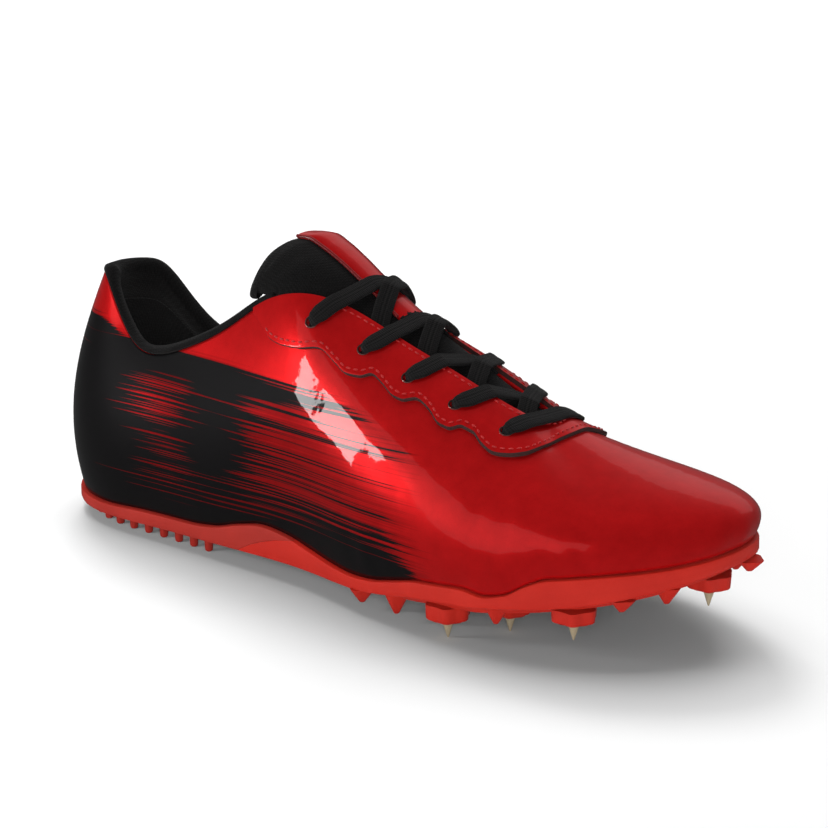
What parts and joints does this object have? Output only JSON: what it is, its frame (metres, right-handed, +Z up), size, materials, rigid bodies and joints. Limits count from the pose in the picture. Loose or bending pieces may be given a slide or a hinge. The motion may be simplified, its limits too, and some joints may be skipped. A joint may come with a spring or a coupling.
{
  "type": "track spike shoe",
  "caption": "Low running spike for the right foot: hollow patent upper with laced throat, padded tongue and collar, rubber heel and a moulded plate with steel pins.",
  "frame": {"origin": "on the floor, at the flat end of the nub under the middle of the heel", "axes": "+X to the toe, +Y to the wearer's left (medial side of this right shoe), +Z up"},
  "size_m": [0.2835, 0.097, 0.1161],
  "materials": {
    "patent": "gloss",
    "rubber": "satin",
    "plate": "satin",
    "padding": "matte",
    "insole_cloth": "matte",
    "lace": "matte",
    "steel": "satin"
  },
  "bodies": {
    "root": {"upper": "patent", "eyestay": "patent", "tongue_panel": "patent", "collar_cuff": "padding", "tongue": "padding", "insole": "insole_cloth", "laces": "lace", "heel_outsole": "rubber", "spike_plate": "plate", "pin_lateral_ball": "steel", "pin_centre_ball": "steel", "pin_medial_ball": "steel", "pin_lateral_fore": "steel", "pin_medial_fore": "steel", "pin_toe": "steel"}
  },
  "joints": []
}
